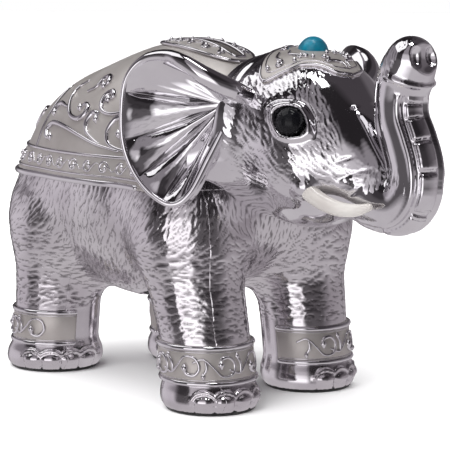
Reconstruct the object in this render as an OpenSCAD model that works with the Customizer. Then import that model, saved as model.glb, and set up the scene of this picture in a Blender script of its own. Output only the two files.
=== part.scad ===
// Elephant coin bank: a hollow silvered casting with a raised trunk, on four felt pads.
// Millimetres. The elephant faces -Y, its right side is -X, and it stands on z = 0.
// Places along the body are measured from the middle of the four feet.

/* [Stance] */
// Distance behind the origin of the point midway between the right feet
feet_mid_y = 22; // [21:0.1:23]
// Half the distance between the left and right feet
foot_x = 23.3; // [22.8:0.1:24]
// Half the distance between the front and rear right feet
foot_y = 42.3; // [41.5:0.1:43]
// How far the left front foot stands behind the right one
front_left_back = 5.2; // [4:0.1:6]
// How far the left rear foot steps in front of the right one
rear_left_step = 20; // [18:0.5:21]
// Radius of a front foot
front_foot_r = 15.6; // [15:0.1:16]
// Radius of a rear foot
rear_foot_r = 16.5; // [16:0.1:16.8]
// Thickness of the felt pad under each foot
pad_t = 1; // [0.8:0.1:1.4]

/* [Torso] */
// Half-width of the barrel
torso_half_w = 40; // [39:0.5:41]
// Half-length of the barrel
torso_half_l = 58.5; // [57.5:0.5:59.5]
// Half-height of the barrel
torso_half_h = 40; // [39:0.5:40.5]
// Height of the barrel's centre
torso_z = 66; // [65.5:0.5:66.5]
// Wall of the casting
wall = 2.2; // [1.8:0.1:2.6]

/* [Legs] */
// Radius of a leg at its anklet
ankle_r = 14.3; // [14:0.1:14.6]
// Height of the anklet's lower edge
anklet_z0 = 9.2; // [8.8:0.1:9.6]
// Height of the anklet's upper edge
anklet_z1 = 21.6; // [20.5:0.1:22.5]
// How far an anklet stands out from the leg
anklet_t = 0.9; // [0.7:0.1:1.2]
// Angle of leg that an anklet leaves bare on its inner side
anklet_gap = 110; // [100:5:120]

/* [Cloth and ornaments] */
// Height of the saddle cloth's lower edge
cloth_z = 68; // [66:0.5:70]
// Thickness of the saddle cloth's relief
cloth_t = 1.2; // [1:0.1:1.6]
// Thickness of the crown plate on the head
crown_plate_t = 1.5; // [1.2:0.1:1.8]
// Radius of the round stone on the head
gem_r = 4.8; // [4.4:0.1:5]

/* [Coins] */
// Width of the coin slot
slot_w = 5; // [4.8:0.1:6]
// Length of the coin slot
slot_l = 33; // [31:1:35]
// Radius of the filler hole in the belly
belly_hole_r = 14; // [13.5:0.5:14.5]
// Radial clearance of the stopper in its hole
stopper_gap = 0.3; // [0.25:0.05:0.4]

/* [Head] */
// Radius of an eye
eye_r = 4.9; // [4.5:0.1:5.2]
// Thickness of an ear
ear_t = 3; // [2.6:0.1:3.4]

/* [Hidden] */

RIGHT = -1;
LEFT = 1;
FRONT = -1;
REAR = 1;
far = 200;
joint_gap = 0.05;
disc_t = 0.1;
blob_fn = 28;
torso_fn = 40;
limb_fn = 12;
trunk_fn = 20;

// Torso
torso_y = 9;
torso_size = [torso_half_w, torso_half_l, torso_half_h];
hump_at = [0, -9, 84];
hump_size = [25, 33, 27];
waist_inset = [7, 18, 6];
hip_at = [21.5, 38, 54];
hip_size = [18, 19, 20];
shoulder_at = [22.5, -30, 58];
shoulder_size = [18.5, 20, 22];

// Legs: each leans from its foot towards its thigh, by the second value at the knee
// and by the first value at the anklet
front_leg_lean = [1.8, 5.5];
rear_leg_lean = [-1.4, -3.5];
rear_left_lean = [1.2, 4];
knee_z = 34;
knee_r = 15;
sole_t = 3;
anklet_turn = 45;

// Seam between the side shells and the underbody
seam_x = 29.5;
seam_z = cloth_z;

// Belly filler
filler_y = -4;
flange_t = 2;
flange_r = belly_hole_r + 2.5;
seat_z = torso_z - torso_half_h + 5.5;
seat_r = flange_r + 2.4;
seat_t = 2.6;
plug_h = 6;
grip_size = [12, 3, 2.4];

// Coin slot
slot_y = -12;
surround_half_w = 11;
surround_half_l = 20;
surround_t = 1;
cloth_front_y = -35;

// Head
skull_at = [0, -62, 87];
skull_size = [24, 26, 24.3];
jaw_at = [0, -64, 72];
jaw_size = [17, 20, 14];
nape_at = [0, -46, 86];
nape_size = [24, 22, 23];
collar_at = [0, -38, 80];
collar_size = [34, 18, 19];
// Trunk: distance forward, height and radius along its middle line
trunk_path = [
    [-78, 80, 17], [-88, 72.5, 12.6], [-96.5, 68.4, 9.6], [-103, 69.5, 8.8], [-106.6, 75.5, 8],
    [-105, 82.5, 7.8], [-101.8, 90, 7.7], [-100.2, 96, 7.7], [-101, 102, 8.2], [-103, 108, 8.4],
    [-104.3, 112.4, 5]
];
nostril_at = [3.4, -110.4, 110.8];
nostril_r = 2.5;
eye_at = [18.8, -73.6, 91];
gem_at = [0, -62.5, 110.8];
crown_edge = [
    [0, -80.5], [-5, -78.5], [-7.8, -74], [-11.5, -69.5], [-15, -67], [-19.3, -62], [-17, -57.5],
    [-10, -53], [0, -51.5]
];
crown_z = 98;
// Tusk: side, distance forward, height and radius along its middle line
tusk_path = [
    [13, -73, 71, 3.1], [13.2, -79, 67.2, 3.1], [13.2, -85.5, 65, 2.9], [12.8, -91.5, 64.8, 2.6],
    [12.2, -96.5, 66, 2.1], [11.5, -100.6, 67.8, 1.2]
];
// Ear: root line and rim, from the front of the head over the top and down the back edge
ear_root = [[24, -52, 95], [25, -49, 85]];
ear_rim = [
    [23, -58.5, 98], [30.5, -58, 101], [36, -54, 104.5], [39, -47.5, 108.5], [40.4, -40.5, 110.2],
    [43, -33.5, 109], [45.3, -29, 104.5], [46.2, -27, 98], [46.4, -27, 85], [45, -30, 75.5],
    [42.6, -35.5, 68.5], [39.3, -42, 65], [34.5, -47, 68], [28, -50, 79]
];
ear_gap = 0.2;

// Tail, as heights down the back of the torso
tail_top_z = 67;
tail_drop = 27;
tail_steps = 8;

// A child placed from the middle of the four feet
module at(p) {
    translate([p.x, p.y + feet_mid_y, p.z]) children();
}

module blob(p, size, grow = 0, fn = blob_fn) {
    at(p) scale(size + [grow, grow, grow]) sphere(r = 1, $fn = fn);
}

module disc(x, y, z, r, h = disc_t) {
    at([x, y, z]) cylinder(r = r, h = h, $fn = blob_fn);
}

function side_of(p, side) = [side * p.x, p.y, p.z];
function foot_r(end) = end == FRONT ? front_foot_r : rear_foot_r;
function step(side, end) = side == RIGHT ? 0 : end == FRONT ? front_left_back : -rear_left_step;
function foot_at(side, end) = [side * foot_x, end * foot_y + step(side, end), 0];
function ankle_at(side, end) = foot_at(side, end) + [0, leg_lean(side, end)[0], anklet_z0];
function leg_lean(side, end) =
    end == FRONT ? front_leg_lean : side == RIGHT ? rear_leg_lean : rear_left_lean;

// One leg: thigh, shin and flared foot
module leg(side, end, grow = 0, sole = pad_t) {
    x = foot_at(side, end).x;
    y = foot_at(side, end).y;
    ankle_y = ankle_at(side, end).y;
    knee_y = y + leg_lean(side, end)[1];
    top_at = side_of(end == FRONT ? shoulder_at : hip_at, side);
    top_size = end == FRONT ? shoulder_size : hip_size;
    hull() {
        blob(top_at, top_size, grow);
        disc(x, knee_y, knee_z, knee_r + grow);
    }
    hull() {
        disc(x, knee_y, knee_z, knee_r + grow);
        disc(x, ankle_y, anklet_z1, ankle_r + grow);
    }
    disc(x, ankle_y, anklet_z0, ankle_r + grow, anklet_z1 - anklet_z0 + disc_t);
    hull() {
        disc(x, ankle_y, anklet_z0, ankle_r + grow);
        disc(x, y, max(5, sole), foot_r(end) + grow);
        disc(x, y, sole, foot_r(end) - 1 + grow);
    }
}

module torso(grow = 0) {
    blob([0, torso_y, torso_z], torso_size, grow, torso_fn);
    hull() {
        blob(hump_at, hump_size, grow);
        blob([0, torso_y, torso_z], torso_size - waist_inset, grow);
    }
}

module body_solid(grow = 0, sole = pad_t) {
    torso(grow);
    for (side = [RIGHT, LEFT], end = [FRONT, REAR])
        leg(side, end, grow, sole);
}

// The whole hollow casting, with the coin slot in its back and a flat seat round the filler hole
module body_casting() {
    difference() {
        body_solid();
        difference() {
            body_solid(-wall, pad_t + sole_t);
            filler_disc(0, seat_r, seat_z + seat_t);
        }
        coin_slot();
        filler_disc(0, belly_hole_r, far / 4);
        filler_disc(0, flange_r + stopper_gap, seat_z);
    }
}

// A disc of air or metal on the filler hole's axis, between two heights
module filler_disc(z0, r, z1) {
    at([0, filler_y, z0]) cylinder(r = r, h = z1 - z0, $fn = torso_fn);
}

module coin_slot() {
    at([0, slot_y, torso_z + torso_half_h])
        cube([slot_w, slot_l, torso_half_h], center = true);
}

module underbody_space() {
    at([0, 0, seam_z - far / 2]) cube([2 * seam_x, far, far], center = true);
}

module body_side(side) {
    color("silver")
        difference() {
            intersection() {
                body_casting();
                at([side * far / 2, 0, 0]) cube(far, center = true);
            }
            underbody_space();
        }
}

module underbody() {
    color("silver")
        intersection() {
            body_casting();
            underbody_space();
        }
}

module skull(grow = 0) {
    hull() {
        blob(skull_at, skull_size, grow);
        blob(jaw_at, jaw_size, grow);
    }
    hull() {
        blob(nape_at, nape_size, grow);
        blob(collar_at, collar_size, grow);
    }
}

module trunk() {
    for (i = [0 : len(trunk_path) - 2])
        hull()
            for (p = [trunk_path[i], trunk_path[i + 1]])
                blob([0, p[0], p[1]], [p[2], p[2], p[2]], 0, trunk_fn);
}

module nostrils() {
    for (side = [RIGHT, LEFT])
        blob(side_of(nostril_at, side), [nostril_r, nostril_r, nostril_r], 0, limb_fn);
}

// Hollow head and trunk, closed against the torso, with seats for the eyes, tusks and stone
module head_shell() {
    color("silver")
        difference() {
            union() {
                skull();
                trunk();
            }
            skull(-wall);
            body_solid();
            nostrils();
            at(gem_at) cylinder(r = gem_r + joint_gap, h = far, $fn = blob_fn);
            for (side = [RIGHT, LEFT]) {
                at(side_of(eye_at, side)) sphere(r = eye_r + joint_gap, $fn = blob_fn);
                tusk_solid(side, joint_gap);
            }
        }
}

// Ear: a fan of thin panels from the root line out to the rim
module ear_solid(side) {
    last = len(ear_rim) - 2;
    turn = floor(len(ear_rim) / 2);
    for (i = [0 : last])
        hull() {
            ear_bead(side, ear_rim[i]);
            ear_bead(side, ear_rim[i + 1]);
            ear_bead(side, ear_root[i < turn ? 0 : 1]);
            if (i == turn) ear_bead(side, ear_root[0]);
        }
}

module ear_bead(side, p) {
    at(side_of(p, side)) sphere(r = ear_t / 2, $fn = limb_fn);
}

module ear(side) {
    color("silver")
        difference() {
            ear_solid(side);
            body_solid(cloth_t + ear_gap);
            skull(joint_gap);
        }
}

module tusk_solid(side, grow = 0) {
    for (i = [0 : len(tusk_path) - 2])
        hull()
            for (p = [tusk_path[i], tusk_path[i + 1]])
                at(side_of(p, side)) sphere(r = p[3] + grow, $fn = limb_fn);
}

module tusk(side) {
    color("ivory") tusk_solid(side);
}

module eye(side) {
    color("black") at(side_of(eye_at, side)) sphere(r = eye_r, $fn = 48);
}

// Crown plate: a shaped cap over the forehead
module crown_plate() {
    color("tan")
        difference() {
            intersection() {
                skull(crown_plate_t);
                at([0, 0, crown_z]) linear_extrude(height = far) crown_outline();
            }
            skull();
            body_solid();
            at(gem_at) cylinder(r = gem_r + joint_gap, h = far, $fn = 48);
        }
}

// Outline seen from above: a middle peak, an arch over each eye and side corners
module crown_outline() {
    for (side = [RIGHT, LEFT])
        polygon([for (p = crown_edge) [side * p.x, p.y]]);
}

module crown_stone() {
    color("teal")
        at(gem_at)
            intersection() {
                sphere(r = gem_r, $fn = 48);
                cylinder(r = gem_r, h = gem_r, $fn = 48);
            }
}

// Saddle cloth: a raised skin over the back and rump, open under the slot surround
module saddle_cloth() {
    color("tan")
        difference() {
            intersection() {
                body_solid(cloth_t);
                at([-far / 2, cloth_front_y, cloth_z]) cube([far, far, far]);
            }
            body_solid();
            skull(joint_gap);
            slot_surround_space(joint_gap);
        }
}

module slot_surround_space(grow = 0) {
    at([0, slot_y, torso_z])
        linear_extrude(height = far)
            scale([surround_half_w + grow, surround_half_l + grow]) circle(r = 1, $fn = 48);
}

// Raised ornament round the coin slot
module slot_surround() {
    color("silver")
        difference() {
            intersection() {
                body_solid(cloth_t + surround_t);
                slot_surround_space();
            }
            body_solid();
            coin_slot();
            skull(joint_gap);
        }
}

// Anklet: a band round the outside of the leg, open on the inner side
module anklet(side, end) {
    gap_dir = (side == RIGHT ? 0 : 180) + side * end * anklet_turn;
    color("tan")
        at(ankle_at(side, end))
            difference() {
                cylinder(r = ankle_r + anklet_t, h = anklet_z1 - anklet_z0, $fn = 48);
                translate([0, 0, -1]) cylinder(r = ankle_r, h = far, $fn = 48);
                rotate([0, 0, gap_dir - anklet_gap / 2])
                    translate([0, 0, -1])
                        rotate_extrude(angle = anklet_gap, $fn = 48) square([2 * ankle_r, far]);
            }
}

module foot_pad(side, end) {
    color("black")
        at(foot_at(side, end)) cylinder(r = foot_r(end) - 1.6, h = pad_t, $fn = 48);
}

function torso_back_y(z) =
    torso_y + torso_half_l * sqrt(1 - pow((z - torso_z) / torso_half_h, 2));

module tail() {
    color("silver")
        difference() {
            for (i = [0 : tail_steps - 1])
                hull()
                    for (k = [i, i + 1]) {
                        z = tail_top_z - tail_drop * k / tail_steps;
                        r = k < tail_steps - 2 ? 2.4 - 0.1 * k : 2.9;
                        at([0, torso_back_y(z) + 0.8, z]) sphere(r = r, $fn = limb_fn);
                    }
            body_solid();
            at([-far / 2, 0, cloth_z - 0.5]) cube(far);
        }
}

// Rubber stopper with a flange, and a groove across it to lift it by
module stopper() {
    color("dimgray")
        at([0, filler_y, seat_z])
            difference() {
                union() {
                    translate([0, 0, -flange_t]) cylinder(r = flange_r, h = flange_t, $fn = 48);
                    cylinder(r = belly_hole_r - stopper_gap, h = plug_h, $fn = 48);
                }
                translate([0, 0, -flange_t]) cube(grip_size, center = true);
            }
}

body_side(RIGHT);  // body_side_right
body_side(LEFT);  // body_side_left
underbody();
head_shell();
ear(RIGHT);  // ear_right
ear(LEFT);  // ear_left
tusk(RIGHT);  // tusk_right
tusk(LEFT);  // tusk_left
eye(RIGHT);  // eye_right
eye(LEFT);  // eye_left
crown_plate();
crown_stone();
saddle_cloth();
slot_surround();
anklet(RIGHT, FRONT);  // anklet_front_right
anklet(LEFT, FRONT);  // anklet_front_left
anklet(RIGHT, REAR);  // anklet_rear_right
anklet(LEFT, REAR);  // anklet_rear_left
foot_pad(RIGHT, FRONT);  // foot_pad_front_right
foot_pad(LEFT, FRONT);  // foot_pad_front_left
foot_pad(RIGHT, REAR);  // foot_pad_rear_right
foot_pad(LEFT, REAR);  // foot_pad_rear_left
tail();
stopper();
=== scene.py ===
"""Elephant coin bank: the looks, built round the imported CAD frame.

The elephant is sculpted in millimetres from signed distance functions, measured from the middle
of its feet as the CAD is, then skinned, engraved and placed in the CAD frame in metres.
"""

import math

import bmesh
import bpy
import numpy as np
from mathutils import Matrix, Vector, kdtree


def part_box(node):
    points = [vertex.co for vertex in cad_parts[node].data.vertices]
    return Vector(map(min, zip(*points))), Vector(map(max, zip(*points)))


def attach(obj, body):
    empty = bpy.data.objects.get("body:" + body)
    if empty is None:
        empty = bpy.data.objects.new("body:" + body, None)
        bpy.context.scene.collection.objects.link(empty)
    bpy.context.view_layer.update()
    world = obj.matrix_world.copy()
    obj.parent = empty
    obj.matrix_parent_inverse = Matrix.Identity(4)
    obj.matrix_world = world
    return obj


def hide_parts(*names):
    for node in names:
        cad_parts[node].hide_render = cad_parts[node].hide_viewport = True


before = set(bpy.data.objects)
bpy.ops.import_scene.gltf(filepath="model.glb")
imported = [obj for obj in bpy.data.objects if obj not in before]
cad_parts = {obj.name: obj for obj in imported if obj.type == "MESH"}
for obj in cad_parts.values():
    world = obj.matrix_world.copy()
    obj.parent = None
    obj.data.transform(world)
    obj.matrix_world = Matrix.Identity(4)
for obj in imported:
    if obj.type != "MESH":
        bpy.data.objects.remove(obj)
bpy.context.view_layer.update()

MM = 0.001
RIGHT, LEFT = -1, 1
FRONT, REAR = "front", "rear"
SIDE_NAMES = {RIGHT: "right", LEFT: "left"}
BODY = "bank"


# ---------------------------------------------------------------- places read from the CAD frame


def node_centre(node):
    low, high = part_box(node)
    return (np.array(low) + np.array(high)) / 2 / MM


FEET_SHIFT = np.array(
    [0, (node_centre("foot_pad_front_right")[1] + node_centre("foot_pad_rear_right")[1]) / 2, 0]
)
FEET = {
    (side, end): node_centre(f"foot_pad_{end}_{SIDE_NAMES[side]}") - FEET_SHIFT
    for side in (RIGHT, LEFT)
    for end in (FRONT, REAR)
}
PAD_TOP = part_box("foot_pad_front_right")[1].z / MM
CLOTH_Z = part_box("saddle_cloth")[0].z / MM
ANKLET_Z0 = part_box("anklet_front_right")[0].z / MM
ANKLET_Z1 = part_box("anklet_front_right")[1].z / MM
EYE_AT = node_centre("eye_left") - FEET_SHIFT
EYE_R = (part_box("eye_left")[1].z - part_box("eye_left")[0].z) / MM / 2
STONE_AT = node_centre("crown_stone") - FEET_SHIFT
STONE_Z0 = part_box("crown_stone")[0].z / MM
STONE_R = (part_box("crown_stone")[1].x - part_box("crown_stone")[0].x) / MM / 2
ANKLET_R = FEET[RIGHT, FRONT][0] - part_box("anklet_front_right")[0].x / MM
SLOT_Y = node_centre("slot_surround")[1] - FEET_SHIFT[1]
SURROUND_HALF_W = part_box("slot_surround")[1].x / MM
SURROUND_HALF_L = (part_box("slot_surround")[1].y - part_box("slot_surround")[0].y) / MM / 2 - 1
PLUG_Y = node_centre("stopper")[1] - FEET_SHIFT[1]
FLANGE_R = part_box("stopper")[1].x / MM
FLANGE_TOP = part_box("stopper")[0].z / MM + 2
PLUG_R = FLANGE_R - 2.5

# ---------------------------------------------------------------- distance functions, millimetres


def mirrored(point, side):
    """A place given for the left side, moved to the given side."""
    return np.array([side * point[0], point[1], point[2]], float)


def smooth_union(a, b, blend):
    t = np.clip(0.5 + 0.5 * (b - a) / blend, 0, 1)
    return b * (1 - t) + a * t - blend * t * (1 - t)


def smooth_cut(a, b, blend):
    return -smooth_union(-a, b, blend)


def ellipsoid(p, centre, radii):
    q = (p - np.asarray(centre, float)) / np.asarray(radii, float)
    k0 = np.sqrt((q * q).sum(1)) + 1e-9
    q /= np.asarray(radii, float)
    k1 = np.sqrt((q * q).sum(1)) + 1e-9
    return k0 * (k0 - 1) / k1


def spline(points, count):
    """A Catmull-Rom curve through the points, at evenly stepped parameters."""
    pts = np.asarray(points, float)
    ends = np.vstack([2 * pts[0] - pts[1], pts, 2 * pts[-1] - pts[-2]])
    t = np.linspace(0, len(pts) - 1, count)
    i = np.minimum(t.astype(int), len(pts) - 2)
    f = (t - i)[:, None]
    a, b, c, d = ends[i], ends[i + 1], ends[i + 2], ends[i + 3]
    return 0.5 * (
        2 * b + (c - a) * f + (2 * a - 5 * b + 4 * c - d) * f**2 + (3 * b - a - 3 * c + d) * f**3
    )


def tube(p, path):
    """Distance to a chain of round cones. The path's rows are x, y, z and radius."""
    best = np.full(len(p), 1e9)
    for a, b in zip(path[:-1], path[1:]):
        ab = b[:3] - a[:3]
        t = np.clip(((p - a[:3]) @ ab) / (ab @ ab + 1e-9), 0, 1)
        gap = p - a[:3] - t[:, None] * ab
        best = np.minimum(best, np.sqrt((gap * gap).sum(1)) - a[3] - t * (b[3] - a[3]))
    return best


def softened(xs, ys, at, width):
    """A smooth curve through a profile's points, read at the given places."""
    grid = np.linspace(xs[0], xs[-1], 240)
    line = np.interp(grid, xs, ys)
    reach = max(1, int(width / (grid[1] - grid[0])))
    kernel = np.hanning(2 * reach + 3)[1:-1]
    line = np.convolve(np.pad(line, reach, mode="edge"), kernel / kernel.sum(), mode="valid")
    return np.interp(at, grid, line)


# Body, as in the CAD: barrel, hump over the shoulders, shoulders and hips
TORSO = ((0, 9, 66), (40, 58.5, 40))
HUMP = ((0, -9, 84), (25, 33, 27))
SHOULDER = ((22.5, -30, 58), (18.5, 20, 22))
HIP = ((21.5, 38, 54), (18, 19, 20))

# Legs: radius and backward lean against height above the table
LEG_Z = (1, 2, 4, 6.5, 9, 11, 21.6, 34, 44, 53, 61, 68)
FRONT_LEG_R = (14.4, 15.3, 15.7, 15.4, 14.5, 14.2, 14.3, 15.0, 15.6, 15.2, 12, 4)
REAR_LEG_R = (15.2, 16.2, 16.6, 16.2, 15.0, 14.6, 14.6, 15.2, 15.6, 15.0, 12, 4)
LEAN_Z = (1, 9, 21.6, 30, 37, 46, 58)
LEANS = {
    (RIGHT, FRONT): (0, 0.9, 2.9, 5.2, 7.2, 9.2, 11),
    (LEFT, FRONT): (0, 0.9, 2.6, 4.0, 5.2, 6.0, 7),
    (RIGHT, REAR): (0, -0.8, -2.2, -3.2, -3.8, -4.2, -4.4),
    (LEFT, REAR): (0, 0.6, 2.0, 3.6, 5.6, 9.0, 13),
}


def leg_axis_y(side, end, z):
    return FEET[side, end][1] + softened(LEAN_Z, LEANS[side, end], np.minimum(z, LEAN_Z[-1]), 4)


def leg_radius(end, z):
    return softened(LEG_Z, FRONT_LEG_R if end == FRONT else REAR_LEG_R, z, 0.9)


def leg(p, side, end):
    z = np.clip(p[:, 2], LEG_Z[0], LEG_Z[-1])
    x = p[:, 0] - FEET[side, end][0]
    y = p[:, 1] - leg_axis_y(side, end, z)
    wall = np.hypot(x, y) - leg_radius(end, z)
    return np.maximum(wall, np.maximum(PAD_TOP - p[:, 2], p[:, 2] - LEG_Z[-1]))


# How softly each lump flows into the rest, in millimetres
HUMP_BLEND, JOINT_BLEND, LEG_BLEND = 14, 9, 8


def body(p):
    d = smooth_union(ellipsoid(p, *TORSO), ellipsoid(p, *HUMP), HUMP_BLEND)
    for side in (RIGHT, LEFT):
        for end, (centre, size) in ((FRONT, SHOULDER), (REAR, HIP)):
            d = smooth_union(d, ellipsoid(p, mirrored(centre, side), size), JOINT_BLEND)
    for side, end in FEET:
        low = p[:, 2] < 80
        d[low] = smooth_union(d[low], leg(p[low], side, end), LEG_BLEND)
    return np.maximum(d, PAD_TOP - p[:, 2])


# Head, trunk and neck
SKULL = ((0, -62, 87), (24, 26, 24.3))
JAW = ((0, -64, 71.5), (16.5, 19.5, 13.5))
EAR_ROOT = ((23.0, -48.8, 91), (4.0, 4.5, 9))
CHEEK = ((13.0, -72, 78), (9.5, 12, 11))
NAPE = ((0, -46, 86), (24, 22, 23))
COLLAR = ((0, -38, 78), (33, 14, 17))
TRUNK = spline(
    [
        [0, -76, 82, 17], [0, -86, 75, 13.4], [0, -94.5, 69.6, 10.4], [0, -101.5, 68.2, 9],
        [0, -106, 72.6, 8.3], [0, -106, 79.5, 7.9], [0, -103.6, 86, 7.7], [0, -100.8, 92.5, 7.6],
        [0, -100.3, 99, 7.8], [0, -102, 105.5, 8.2], [0, -104, 109.6, 7.6],
    ],
    84,
)  # fmt: skip
NOSTRIL = ((3.1, -110.4, 111.6), (2.2, 3.2, 3.2))
TRUNK_DISH = ((0, -112.4, 112.6), (6.9, 3.8, 6.4))
MOUTH = [[16.6, -79, 66.0, 0.5], [14.6, -83, 63.6, 1.1], [11.5, -87.5, 62.0, 0.4]]
TUSK = spline(
    [
        [17.6, -75.0, 76.6, 2.3], [18.2, -80.0, 71.6, 2.6], [17.2, -85.5, 68.4, 2.5],
        [15.6, -91.0, 66.7, 2.3], [13.8, -96.0, 66.6, 1.9], [12.4, -100.2, 67.8, 1.2],
    ],
    26,
)  # fmt: skip


SKULL_BLEND, CHEEK_BLEND, EAR_ROOT_BLEND, TRUNK_BLEND = 10, 8, 4, 5
LIP_BLEND, MOUTH_BLEND, DISH_BLEND, NOSTRIL_BLEND = 2.0, 1.2, 0.9, 0.8
# The lip is a sleeve round the tusk's root, this much thicker than the tusk
LIP_T = 1.1


def head(p):
    d = ellipsoid(p, *SKULL)
    for lump in (JAW, NAPE, COLLAR):
        d = smooth_union(d, ellipsoid(p, *lump), SKULL_BLEND)
    for side in (RIGHT, LEFT):
        for (centre, radii), blend in ((CHEEK, CHEEK_BLEND), (EAR_ROOT, EAR_ROOT_BLEND)):
            d = smooth_union(d, ellipsoid(p, mirrored(centre, side), radii), blend)
    ahead = p[:, 1] < -66
    d[ahead] = smooth_union(d[ahead], tube(p[ahead], TRUNK), TRUNK_BLEND)
    for side in (RIGHT, LEFT):
        near = ahead & (p[:, 0] * side > 4)
        lip = TUSK[:5] * [side, 1, 1, 1] + [0, 0, 0, LIP_T]
        d[near] = smooth_union(d[near], tube(p[near], lip), LIP_BLEND)
        mouth = np.array(MOUTH) * [side, 1, 1, 1]
        d[near] = smooth_cut(d[near], tube(p[near], mouth), MOUTH_BLEND)
    tip = (p[:, 1] < -96) & (p[:, 2] > 98)
    d[tip] = smooth_cut(d[tip], ellipsoid(p[tip], *TRUNK_DISH), DISH_BLEND)
    for side in (RIGHT, LEFT):
        nostril = ellipsoid(p[tip], mirrored(NOSTRIL[0], side), NOSTRIL[1])
        d[tip] = smooth_cut(d[tip], nostril, NOSTRIL_BLEND)
    return d


# ---------------------------------------------------------------- objects and skinning


def placed(name, data):
    """A new object in the scene, from a mesh, a lamp or a camera."""
    obj = bpy.data.objects.new(name, data)
    bpy.context.scene.collection.objects.link(obj)
    return obj


def edit(mesh, change):
    """Runs a change on an editable copy of a mesh and writes the result back."""
    work = bmesh.new()
    work.from_mesh(mesh)
    change(work)
    work.to_mesh(mesh)
    work.free()


GRADIENT_STEP = 0.12


def gradient(distance, p):
    g = np.empty_like(p)
    for axis in range(3):
        step = np.zeros(3)
        step[axis] = GRADIENT_STEP
        g[:, axis] = distance(p + step) - distance(p - step)
    return g / (2 * GRADIENT_STEP)


def unit(v):
    return v / (np.sqrt((v * v).sum(-1, keepdims=True)) + 1e-12)


def settle(distance, p):
    """Moves points onto the surface where the distance is nothing. Returns them and normals."""
    for _ in range(3):
        g = gradient(distance, p)
        size = np.maximum((g * g).sum(1, keepdims=True), 0.2)
        p = p - g / size * np.clip(distance(p), -1, 1)[:, None]
    return p, unit(gradient(distance, p))


def press(surface, p, axis, lift, rounds=40, rate=1.0):
    """Moves places against one axis until they lie at the lift above a surface."""
    for _ in range(rounds):
        p[:, axis] -= np.clip(surface(p) - lift, -2, 2) * rate
    return p


def skin(distance, low, high, step):
    """Points and quads of the surface inside a box, by surface nets on a sparse grid."""
    block = 4
    low = np.asarray(low, float)
    cells = np.ceil((np.asarray(high, float) - low) / (block * step)).astype(int)
    grid = np.stack(np.meshgrid(*[np.arange(n) for n in cells], indexing="ij"), -1)
    centres = low + (grid.reshape(-1, 3) + 0.5) * block * step
    coarse = distance(centres)
    near = np.abs(coarse) < block * step * 1.35
    values = coarse.reshape(cells)
    for axis in range(3):
        values = np.repeat(values, block, axis)
    inner = np.stack(np.meshgrid(*[np.arange(block)] * 3, indexing="ij"), -1).reshape(-1, 3)
    nodes = (grid.reshape(-1, 3)[near][:, None] * block + inner).reshape(-1, 3)
    for part in np.array_split(nodes, max(1, len(nodes) // 300000)):
        values[tuple(part.T)] = distance(low + part * step)
    solid = values < 0
    count = np.zeros(np.array(solid.shape) - 1, np.uint8)
    corners = [(i, j, k) for i in (0, 1) for j in (0, 1) for k in (0, 1)]
    for i, j, k in corners:
        count += solid[i : i + count.shape[0], j : j + count.shape[1], k : k + count.shape[2]]
    active = (count > 0) & (count < 8)
    where = np.argwhere(active)
    number = np.full(active.shape, -1, np.int64)
    number[active] = np.arange(len(where))
    total = np.zeros((len(where), 3))
    hits = np.zeros(len(where))
    for a in corners:
        for axis in range(3):
            if a[axis]:
                continue
            b = list(a)
            b[axis] = 1
            va = values[tuple((where + a).T)]
            vb = values[tuple((where + b).T)]
            cross = (va < 0) != (vb < 0)
            t = va[cross] / (va[cross] - vb[cross])
            spot = np.array(a, float) + np.zeros((len(t), 3))
            spot[:, axis] = t
            total[cross] += spot
            hits[cross] += 1
    points = low + (where + total / hits[:, None]) * step
    quads = []
    for axis in range(3):
        u, v = (axis + 1) % 3, (axis + 2) % 3
        first = np.take(solid, range(solid.shape[axis] - 1), axis)
        second = np.take(solid, range(1, solid.shape[axis]), axis)
        edge = np.argwhere(first != second)
        edge = edge[
            (edge[:, u] > 0)
            & (edge[:, v] > 0)
            & (edge[:, u] < active.shape[u])
            & (edge[:, v] < active.shape[v])
            & (edge[:, axis] < active.shape[axis])
        ]
        ring = []
        for du, dv in ((-1, -1), (0, -1), (0, 0), (-1, 0)):
            cell = edge.copy()
            cell[:, u] += du
            cell[:, v] += dv
            ring.append(number[tuple(cell.T)])
        ring = np.stack(ring, 1)
        outward = first[tuple(edge.T)]
        ring[~outward] = ring[~outward][:, ::-1]
        quads.append(ring)
    return points, np.vstack(quads)


def mesh_object(name, points, faces, groove=None):
    """A smooth-shaded object from points in millimetres and faces of one size."""
    faces = np.asarray(faces)
    mesh = bpy.data.meshes.new(name)
    mesh.vertices.add(len(points))
    mesh.vertices.foreach_set("co", ((points + FEET_SHIFT) * MM).astype(np.float32).ravel())
    mesh.loops.add(faces.size)
    mesh.loops.foreach_set("vertex_index", faces.astype(np.int32).ravel())
    mesh.polygons.add(len(faces))
    starts = np.arange(len(faces), dtype=np.int32) * faces.shape[1]
    mesh.polygons.foreach_set("loop_start", starts)
    mesh.polygons.foreach_set("use_smooth", np.ones(len(faces), bool))
    mesh.update(calc_edges=True)
    # The groove amount is painted shade: plated materials darken their colour by it.
    if groove is not None:
        layer = mesh.attributes.new("groove", "FLOAT", "POINT")
        layer.data.foreach_set("value", np.clip(groove, 0, 1).astype(np.float32))
    return placed(name, mesh)


def finish_piece(obj, material, slot, *nodes):
    obj.data.materials.clear()
    obj.data.materials.append(material)
    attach(obj, BODY)
    if nodes:
        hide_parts(*nodes)
    return obj


def cut_flat(obj, point, normal):
    """Cuts away what lies on the normal's side of a plane and closes the cut with one face."""

    def cut(work):
        found = bmesh.ops.bisect_plane(
            work,
            geom=work.verts[:] + work.edges[:] + work.faces[:],
            plane_co=(Vector(point) + Vector(FEET_SHIFT)) * MM,
            plane_no=normal,
            clear_outer=True,
        )
        rim = [e for e in found["geom_cut"] if isinstance(e, bmesh.types.BMEdge)]
        for face in bmesh.ops.contextual_create(work, geom=rim)["faces"]:
            face.smooth = False

    edit(obj.data, cut)


# ---------------------------------------------------------------- engraved hair


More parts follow.
